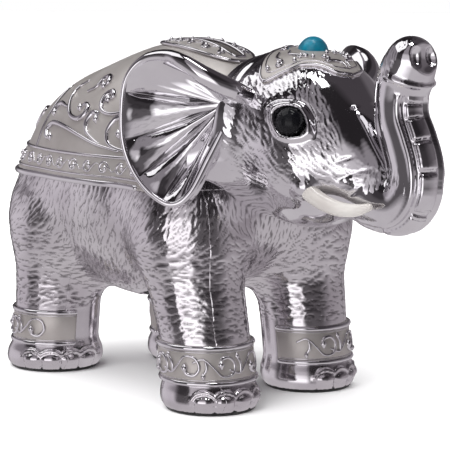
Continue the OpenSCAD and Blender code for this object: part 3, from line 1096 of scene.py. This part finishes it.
for side in (RIGHT, LEFT):
    label = SIDE_NAMES[side]
    facing = EAR_OUT * [side, 1, 1]
    sheet, hairy, valley_shade = ear_sheet(side)
    rows, cols = sheet.shape[:2]
    i, j = np.meshgrid(np.arange(rows - 1), np.arange(cols - 1), indexing="ij")
    a = (i * cols + j).ravel()
    faces = np.stack([a, a + cols, a + cols + 1, a + 1], 1)
    if side == LEFT:
        faces = faces[:, ::-1]
    flat = sheet.reshape(-1, 3)
    du = np.gradient(sheet, axis=0).reshape(-1, 3)
    dv = np.gradient(sheet, axis=1).reshape(-1, 3)
    n = unit(np.cross(du, dv) * side)
    n *= np.sign((n * facing).sum(1, keepdims=True) + 1e-9)
    cut = np.zeros(len(flat))
    flow = unit(flat - EAR_HUB * [side, 1, 1]) + [0, 0.3, 0.12]
    cut = engrave(flat, n, flow, hairy.ravel(), 23 + side, 2.0)
    # Painted shade in the hair strokes and in the flutes' valleys.
    groove = np.maximum(-1.4 * cut / HAIR_DEPTH, 0.6 * valley_shade.ravel())
    ear = mesh_object(f"ear_{label}_sheet", flat + n * cut[:, None], faces, groove)
    edit(ear.data, lambda work: bmesh.ops.remove_doubles(work, verts=work.verts[:], dist=0.02 * MM))
    thick = ear.modifiers.new("thick", "SOLIDIFY")
    thick.thickness = EAR_T * MM
    thick.offset = -1
    finish_piece(ear, mirror_silver, "silver", f"ear_{label}")
    radii = np.interp(np.linspace(0, 14, len(EAR_RIM)), np.arange(15), EAR_ROLL_R)
    rim = EAR_RIM * [side, 1, 1] - facing * (0.6 * radii[:, None])
    beading(f"ear_{label}_rim", [with_radius(rim, radii)], 20)

# ---------------------------------------------------------------- crown plate and stone

CROWN_EDGE = (
    (0, -80.5), (5, -78.5), (7.8, -74), (11.5, -69.5), (15, -67), (19.3, -62), (17, -57.5),
    (10, -53), (0, -51.5),
)  # fmt: skip
CROWN_T = 0.8


def crown_surface(p):
    return head(p) - CROWN_T


def drape(surface, xy, lift=0.0):
    """Lowers places seen from above onto a surface, then lifts them off it."""
    return press(surface, np.insert(xy, 2, ABOVE_Z, axis=1), 2, lift, rate=0.9)


def crown_rim(shrink=1.0):
    """The crown plate's outline seen from above, shrunk towards the stone."""
    half = spline(CROWN_EDGE, 61)
    loop = np.vstack([half, half[-2:0:-1] * [-1, 1]])
    middle = np.array([0, STONE_AT[1]])
    return middle + (loop - middle) * shrink


CROWN_ROWS = 26
CROWN_HOLE = 0.12
top = [drape(crown_surface, crown_rim(shrink)) for shrink in np.linspace(CROWN_HOLE, 1.0, CROWN_ROWS)]
skirt = drape(crown_surface, crown_rim(), -2 * CROWN_T)
bottom = drape(crown_surface, crown_rim(CROWN_HOLE), -2 * CROWN_T)
crown = loft("crown_cap", [np.array([bottom] + top + [skirt])])
finish_piece(crown, satin, "satin_silver", "crown_plate")


def on_crown(line, lift=0.2):
    return drape(crown_surface, np.asarray(line, float), lift)


CROWN_CURLS = (
    # centre, first and last radius, first angle, turns, tail
    ((4.6, -72.4), 0.5, 1.9, 30, 0.75, ((1.4, -75.6), (0.7, -78.2))),
    ((9.0, -66.8), 0.5, 1.9, -30, 0.75, ((9.4, -62.4), (7.2, -60.0))),
    ((14.6, -62.8), 0.4, 1.6, 60, -0.75, ((12.2, -59.6), (9.4, -57.6))),
    ((5.6, -56.4), 0.4, 1.6, 200, 0.7, ((1.6, -54.6), (0.4, -53.4))),
)
CROWN_BALLS = (
    (1.7, -70.4), (4.6, -72.4), (7.2, -70.2), (9.0, -66.8), (11.6, -66.8), (14.6, -62.8), (5.6, -56.4),
    (16.8, -60.6),
)  # fmt: skip
runs = []
for side in (RIGHT, LEFT):
    for centre, r0, r1, start, turns, tail in CROWN_CURLS:
        line = curl(centre, r0, r1, start, turns, tail) * [side, 1]
        runs.append(tapered_bead(on_crown(line), 0.6))
    for place in CROWN_BALLS:
        runs.append(ball(on_crown([np.array(place) * [side, 1]], 0.35)[0], 0.75))
for shrink, lift, radius in ((1.0, -0.25, 0.55), (0.9, 0.0, 0.25)):
    loop = crown_rim(shrink)
    runs.append(with_radius(drape(crown_surface, np.vstack([loop, loop[:1]]), lift), radius))
beading("crown_scrolls", runs, 8)


def lathe(centre, axis, profile, sides=64):
    """Rings round an axis from a profile of (radius, height) rows."""
    axis = unit(np.asarray(axis, float))
    u = unit(np.cross(axis, [0.3, 1.0, 0.2]))
    v = np.cross(axis, u)
    turn = np.linspace(0, 2 * np.pi, sides, endpoint=False)
    ring = np.cos(turn)[:, None] * u + np.sin(turn)[:, None] * v
    profile = np.asarray(profile, float)
    return np.asarray(centre, float) + profile[:, :1, None] * ring + profile[:, 1:, None] * axis


arc = np.radians(np.linspace(0, 87, 22))
dome_profile = np.stack([STONE_R * np.cos(arc), (STONE_R + 0.4) * np.sin(arc)], 1)
dome_profile = np.vstack([[STONE_R - 0.3, -0.6], dome_profile])
stone_base = [0, STONE_AT[1], STONE_Z0]
stone = loft("stone_dome", [lathe(stone_base, (0, 0, 1), dome_profile)])
finish_piece(stone, turquoise, "turquoise", "crown_stone")
# The seat's section, as (distance from the stone's edge, height)
SEAT_SECTION = ((-0.2, -2.2), (1.1, -2.2), (1.0, -0.6), (0.5, 0.15), (0.1, 0.1))
seat_profile = [(STONE_R + out, height) for out, height in SEAT_SECTION]
seat = loft("stone_seat", [lathe(stone_base, (0, 0, 1), seat_profile)])
finish_piece(seat, satin, "satin_silver")

# ---------------------------------------------------------------- slot surround

SURROUND_T = 0.6
SLOT_CURLS, SLOT_CURL_PITCH, SLOT_CURL_X = 5, 6.5, 6.3


def surround_surface(p):
    return cloth_surface(p) - SURROUND_T


def surround_loop(grow):
    """Outlines that pass from the slot's long round-ended hole to the oval plate's edge."""
    turn = np.linspace(0, 2 * np.pi, 96, endpoint=False)
    power = 8 - 6 * grow
    c, s = np.cos(turn), np.sin(turn)
    reach = (np.abs(c) ** power + np.abs(s) ** power) ** (-1 / power)
    half_w = SLOT_HALF_W + (SURROUND_HALF_W - SLOT_HALF_W) * grow
    half_l = SLOT_HALF_L + (SURROUND_HALF_L - SLOT_HALF_L) * grow
    return np.stack([half_w * reach * c, SLOT_Y + half_l * reach * s], 1)


def open_ends(work):
    """Takes away a loft's end faces, the only ones with more than four corners."""
    ends = [f for f in work.faces if len(f.verts) > 4]
    bmesh.ops.delete(work, geom=ends, context="FACES_ONLY")


rings = [drape(surround_surface, surround_loop(grow)) for grow in np.linspace(0, 1, 14)]
inner = [rings[0] - [0, 0, depth] for depth in (7, 5, 3, 1)]
outer = drape(surround_surface, surround_loop(1.0), -1.6)
surround = loft("slot_plate", [np.array(inner + rings + [outer])])
edit(surround.data, open_ends)
finish_piece(surround, satin, "satin_silver", "slot_surround")

runs = []
for grow, radius in ((0.02, 0.55), (0.97, 0.6), (0.86, 0.3)):
    loop = drape(surround_surface, surround_loop(grow), 0.05)
    runs.append(with_radius(np.vstack([loop, loop[:1]]), radius))
for side in (RIGHT, LEFT):
    for k in range(SLOT_CURLS):
        y = SLOT_Y + SLOT_CURL_PITCH * (k - (SLOT_CURLS - 1) / 2)
        x = SLOT_CURL_X * math.sqrt(max(0.2, 1 - ((y - SLOT_Y) / SURROUND_HALF_L) ** 2))
        flip = 1 if k % 2 else -1
        line = curl((x, y), 0.4, 1.6, 90 * flip, 0.8 * flip, ((x - 1.6, y + 3.2), (x, y + 5.2)))
        runs.append(tapered_bead(drape(surround_surface, line * [side, 1], 0.1), 0.5))
        runs.append(ball(drape(surround_surface, np.array([[side * x, y]]), 0.3)[0], 0.75))
beading("slot_scrolls", runs, 8)

# ---------------------------------------------------------------- anklets

ANKLET_OPEN = 110
ANKLET_H = ANKLET_Z1 - ANKLET_Z0
VINE_PITCH = 11.5
VINE = spline(RUNNING_SCROLL, 54) * 1.2


def on_anklet(side, end, along, z, lift):
    """A place on a band from the distance along it, from the middle of its outer face."""
    back = 1 if end == FRONT else -1
    middle = math.atan2(-back, side)
    angle = middle + np.asarray(along) / ANKLET_R
    z = np.asarray(z, float)
    r = ANKLET_R + lift
    foot = FEET[side, end]
    return np.stack([foot[0] + r * np.cos(angle), leg_axis_y(side, end, z) + r * np.sin(angle), z], -1)


# A band's section, as (lift off its nominal radius, height)
ANKLET_SECTION = (
    (-2.2, 0), (-0.5, 0), (-0.15, 0.5), (-0.15, ANKLET_H - 0.5), (-0.5, ANKLET_H), (-2.2, ANKLET_H),
)  # fmt: skip
# The height and radius of each bead that runs along a band
ANKLET_BEADS = ((0.8, 0.85), (1.95, 0.22), (ANKLET_H - 1.95, 0.22), (ANKLET_H - 0.8, 0.85))
VINE_R = 0.36 + 0.4 * np.linspace(0, 1, len(VINE)) ** 2
LEAF = spline([(-6.2, -1.9), (-6.0, 0.5), (-7.2, 2.6)], 12)
LEAF_BALL = (-7.3, 2.9)
ANKLET_MIDDLE_Z = ANKLET_Z0 + ANKLET_H / 2

for side, end in FEET:
    label = f"{end}_{SIDE_NAMES[side]}"
    half = math.radians(360 - ANKLET_OPEN) / 2 * ANKLET_R
    rings = [
        [on_anklet(side, end, along, ANKLET_Z0 + z, lift) for lift, z in ANKLET_SECTION]
        for along in np.linspace(-half, half, 110)
    ]
    finish_piece(loft(f"anklet_band_{label}", [np.array(rings)]), satin, "satin_silver", f"anklet_{label}")
    runs = []
    line = np.linspace(0.6 - half, half - 0.6, 90)
    for z, radius in ANKLET_BEADS:
        level = np.full(len(line), ANKLET_Z0 + z)
        runs.append(with_radius(on_anklet(side, end, line, level, -0.3), radius))
    count = int((half - 5) / VINE_PITCH * 2)
    for k in range(count):
        start = (k - (count - 1) / 2) * VINE_PITCH + 1.5
        flip = 1 if k % 2 else -1

        def vine_place(at, lift):
            """Lays (along, up) places of this step of the vine on the band."""
            along, up = np.transpose(at)
            return on_anklet(side, end, start + along, ANKLET_MIDDLE_Z + up * flip, lift)

        runs.append(with_radius(vine_place(VINE, 0.1), VINE_R))
        runs.append(ball(vine_place(VINE[-1], 0.3), 1.1))
        runs.append(tapered_bead(vine_place(LEAF, 0.1), 0.55))
        runs.append(ball(vine_place(LEAF_BALL, 0.25), 0.8))
    beading(f"anklet_vine_{label}", runs, 8)

# ---------------------------------------------------------------- tusks, eyes, tail and pads

for side in (RIGHT, LEFT):
    label = SIDE_NAMES[side]
    horn = sweep(f"tusk_{label}_horn", [TUSK * [side, 1, 1, 1]], 28)
    finish_piece(horn, ivory, "ivory", f"tusk_{label}")
    polar = np.radians(np.linspace(4, 150, 44))
    reach = EYE_R * (1 - 0.012 * bell(np.degrees(polar), 34, 3.5))
    profile = np.stack([reach * np.sin(polar), reach * np.cos(polar)], 1)
    bead_rings = lathe(mirrored(EYE_AT, side), mirrored(EYE_OUT, side), profile)
    finish_piece(loft(f"eye_{label}_bead", [bead_rings]), black_bead, "eye_black", f"eye_{label}")

TAIL_TOP, TAIL_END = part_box("tail")[1].z / MM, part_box("tail")[0].z / MM
TUFT_STRANDS = 9


def rear_place(x, z, lift):
    """Lays (x, z) places on the rump, behind the hips."""
    return press(body, np.stack([x, np.full(len(z), BEHIND_Y), z], 1), 1, lift, 30)


t = np.linspace(0, 1, 40)
cord_z = TAIL_TOP - 1 + (TAIL_END + 9 - TAIL_TOP) * t
cord = rear_place(0.5 * np.sin(3 * t), cord_z, 0.5)
runs = [with_radius(cord, 2.3 - 0.9 * t)]
t = np.linspace(0, 1, 16)
for spread in np.linspace(-1, 1, TUFT_STRANDS):
    z = TAIL_END + 11 - 10.2 * t * (1 - 0.12 * abs(spread))
    strand = rear_place(spread * 2.3 * np.sin(np.pi * (0.15 + 0.75 * t)), z, 0.9 + 0.5 * (1 - abs(spread)))
    runs.append(with_radius(strand, 0.75 - 0.5 * t))
finish_piece(sweep("tail_tuft", runs, 12), silver, "silver", "tail")

for side, end in FEET:
    label = f"{end}_{SIDE_NAMES[side]}"
    low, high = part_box(f"foot_pad_{label}")
    radius, thick = (high.x - low.x) / MM / 2, (high.z - low.z) / MM
    profile = [(radius - 0.25, 0.0), (radius, 0.25), (radius, thick - 0.1), (radius - 0.2, thick + 0.3)]
    pad = loft(f"pad_{label}", [lathe(FEET[side, end] * [1, 1, 0], (0, 0, 1), profile, 96)])
    finish_piece(pad, felt, "felt", f"foot_pad_{label}")

stopper_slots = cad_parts["stopper"].data.materials
for index in range(len(stopper_slots)):
    stopper_slots[index] = rubber

# ---------------------------------------------------------------- stage, light and camera


def staged(name, mesh, material):
    """A mesh of the stage, which is no piece of the bank."""
    mesh.materials.append(material)
    obj = placed(name, mesh)
    return obj


FLOOR_HALF = 20
floor_material, floor_tree, floor_shader = principled("floor")
floor_colour = mottled(floor_tree, 3, 2, (0.88, 0.88, 0.88), (0.90, 0.90, 0.90))[1]
give(floor_tree, floor_shader, {"Base Color": floor_colour, "Roughness": 0.9})
floor_mesh = bpy.data.meshes.new("floor")
floor_corners = [(x * FLOOR_HALF, y * FLOOR_HALF, 0) for x, y in ((-1, -1), (1, -1), (1, 1), (-1, 1))]
floor_mesh.from_pydata(floor_corners, [], [(0, 1, 2, 3)])
floor = staged("floor", floor_mesh, floor_material)
floor.visible_glossy = False


BACKDROP_R = 8


def inward_ball(work):
    bmesh.ops.create_uvsphere(work, u_segments=48, v_segments=24, radius=BACKDROP_R)
    bmesh.ops.reverse_faces(work, faces=work.faces[:])


# A white backdrop all round, which only the camera sees
backdrop_material = bpy.data.materials.new("backdrop")
backdrop_material.use_nodes = True
backdrop_tree = backdrop_material.node_tree
backdrop_tree.nodes.clear()
glow = add(backdrop_tree, "ShaderNodeEmission", {"Color": (1, 1, 1, 1), "Strength": 1.0})
add(backdrop_tree, "ShaderNodeOutputMaterial", {"Surface": glow.outputs["Emission"]})
backdrop_mesh = bpy.data.meshes.new("backdrop")
edit(backdrop_mesh, inward_ball)
backdrop = staged("backdrop", backdrop_mesh, backdrop_material)
backdrop.visible_glossy = False
backdrop.visible_diffuse = False
backdrop.visible_shadow = False


def softbox(name, azimuth, elevation, distance, width, height, power):
    """A rectangular lamp aimed at the elephant. Azimuth turns from -Y towards -X."""
    a, e = math.radians(azimuth), math.radians(elevation)
    towards = Vector((-math.sin(a) * math.cos(e), -math.cos(a) * math.cos(e), math.sin(e)))
    lamp = bpy.data.lights.new(name, "AREA")
    lamp.shape = "RECTANGLE"
    lamp.size = width
    lamp.size_y = height
    lamp.energy = power
    obj = placed(name, lamp)
    obj.location = towards * distance + Vector((0, 0, AIM_Z))
    obj.rotation_euler = towards.to_track_quat("Z", "Y").to_euler()
    return obj


def graded(tree, value, low, high, stops):
    """Colours by a value that runs from low to high."""
    return colour_ramp(tree, map_range(tree, value, From_Min=low, From_Max=high), stops)


def mixed(tree, blend, factor, a, b):
    inputs = {"Factor": factor, "A": a, "B": b}
    return add(tree, "ShaderNodeMix", inputs, data_type="RGBA", blend_type=blend).outputs["Result"]


def sky():
    """Screens round the horizon that dim towards the top, and the pale floor's shine below it."""
    world = bpy.data.worlds.new("studio")
    bpy.context.scene.world = world
    world.use_nodes = True
    tree = world.node_tree
    way = add(tree, "ShaderNodeTexCoord").outputs["Generated"]
    height = add(tree, "ShaderNodeSeparateXYZ", {"Vector": way}).outputs["Z"]
    around = add(tree, "ShaderNodeTexGradient", {"Vector": way}, gradient_type="RADIAL").outputs["Fac"]
    stops = sorted((azimuth_place(degrees), colour) for degrees, colour in SCREENS)
    screens = graded(tree, around, 0, 1, stops)
    walls = mixed(tree, "MULTIPLY", 1, screens, graded(tree, height, 0, 1, CEILING))
    floor_shine = graded(tree, height, -1, 0, FLOOR_SHINE)
    above = graded(tree, height, *FLOOR_EDGE, ((0.0, (0, 0, 0)), (1.0, (1, 1, 1))))
    give(tree, tree.nodes["Background"], {"Color": mixed(tree, "MIX", above, floor_shine, walls)})


def azimuth_place(degrees):
    """Where an azimuth, turned from -Y towards -X, lies on a radial gradient from 0 to 1."""
    a = math.radians(degrees)
    return (math.atan2(-math.cos(a), -math.sin(a)) / (2 * math.pi) + 0.5) % 1.0


AIM_Z = 0.06
BRIGHT, LAVENDER = (1.55, 1.51, 1.55), (0.66, 0.62, 0.665)
DIM, DARK = (0.36, 0.33, 0.355), (0.12, 0.11, 0.118)
# The screens' colours by azimuth in degrees, then the floor's and the ceiling's by the height of
# the direction. They were tuned until light and dark fell on the silver about as in the photo.
SCREENS = ((-75, DIM), (-40, DIM), (-8, DARK), (34, DARK), (45, BRIGHT), (88, BRIGHT), (100, DARK),
           (120, DARK), (132, LAVENDER), (178, LAVENDER), (194, DARK), (222, DARK), (240, DIM))  # fmt: skip
FLOOR_EDGE = (-0.44, -0.16)
FLOOR_SHINE = ((0.0, (0.58, 0.55, 0.57)), (1.0, (0.56, 0.53, 0.56)))
CEILING = ((0.0, (1, 1, 1)), (0.12, (0.9, 0.9, 0.9)), (0.26, (0.42, 0.41, 0.42)), (0.5, (0.38, 0.37, 0.38)),
           (0.62, (0.18, 0.17, 0.18)), (1.0, (0.18, 0.17, 0.18)))  # fmt: skip

sun = bpy.data.lights.new("sun", "SUN")
sun.energy = 4.1
sun.angle = math.radians(100)
placed("sun", sun).visible_glossy = False

sky()
softbox("key", 75, 42, 1.3, 0.9, 0.7, 10).visible_glossy = False
softbox("brow", 150, 58, 1.3, 1.0, 0.8, 3)
softbox("top", 10, 84, 1.6, 0.3, 0.8, 4)

camera_data = bpy.data.cameras.new("camera")
camera = placed("camera", camera_data)
bpy.context.scene.camera = camera

# The photo's camera, fitted to the feet and other landmarks: metres, and angles from the Y axis
CAMERA_AZIMUTH = math.radians(39.14)
CAMERA_HEIGHT = 0.1315
CAMERA_DISTANCE = 0.6124
CAMERA_YAW = math.radians(1.30)
CAMERA_PITCH = math.radians(7.46)
CAMERA_ROLL = math.radians(0.37)
CAMERA_VIEW = math.radians(13.97)


def aim_camera():
    heading = CAMERA_AZIMUTH + CAMERA_YAW
    ahead = Vector(
        (
            math.sin(heading) * math.cos(CAMERA_PITCH),
            math.cos(heading) * math.cos(CAMERA_PITCH),
            -math.sin(CAMERA_PITCH),
        )
    )
    right = Vector((math.cos(heading), -math.sin(heading), 0))
    up = right.cross(ahead)
    turned_right = right * math.cos(CAMERA_ROLL) + up * math.sin(CAMERA_ROLL)
    turned_up = up * math.cos(CAMERA_ROLL) - right * math.sin(CAMERA_ROLL)
    place = Vector(
        (
            -math.sin(CAMERA_AZIMUTH) * CAMERA_DISTANCE,
            -math.cos(CAMERA_AZIMUTH) * CAMERA_DISTANCE + FEET_SHIFT[1] * MM,
            CAMERA_HEIGHT,
        )
    )
    basis = Matrix((turned_right, turned_up, -ahead)).transposed().to_4x4()
    camera.matrix_world = Matrix.Translation(place) @ basis
    camera_data.sensor_fit = "HORIZONTAL"
    camera_data.angle = CAMERA_VIEW
    camera_data.clip_start = 0.01


aim_camera()
bpy.context.scene.view_settings.view_transform = "Standard"
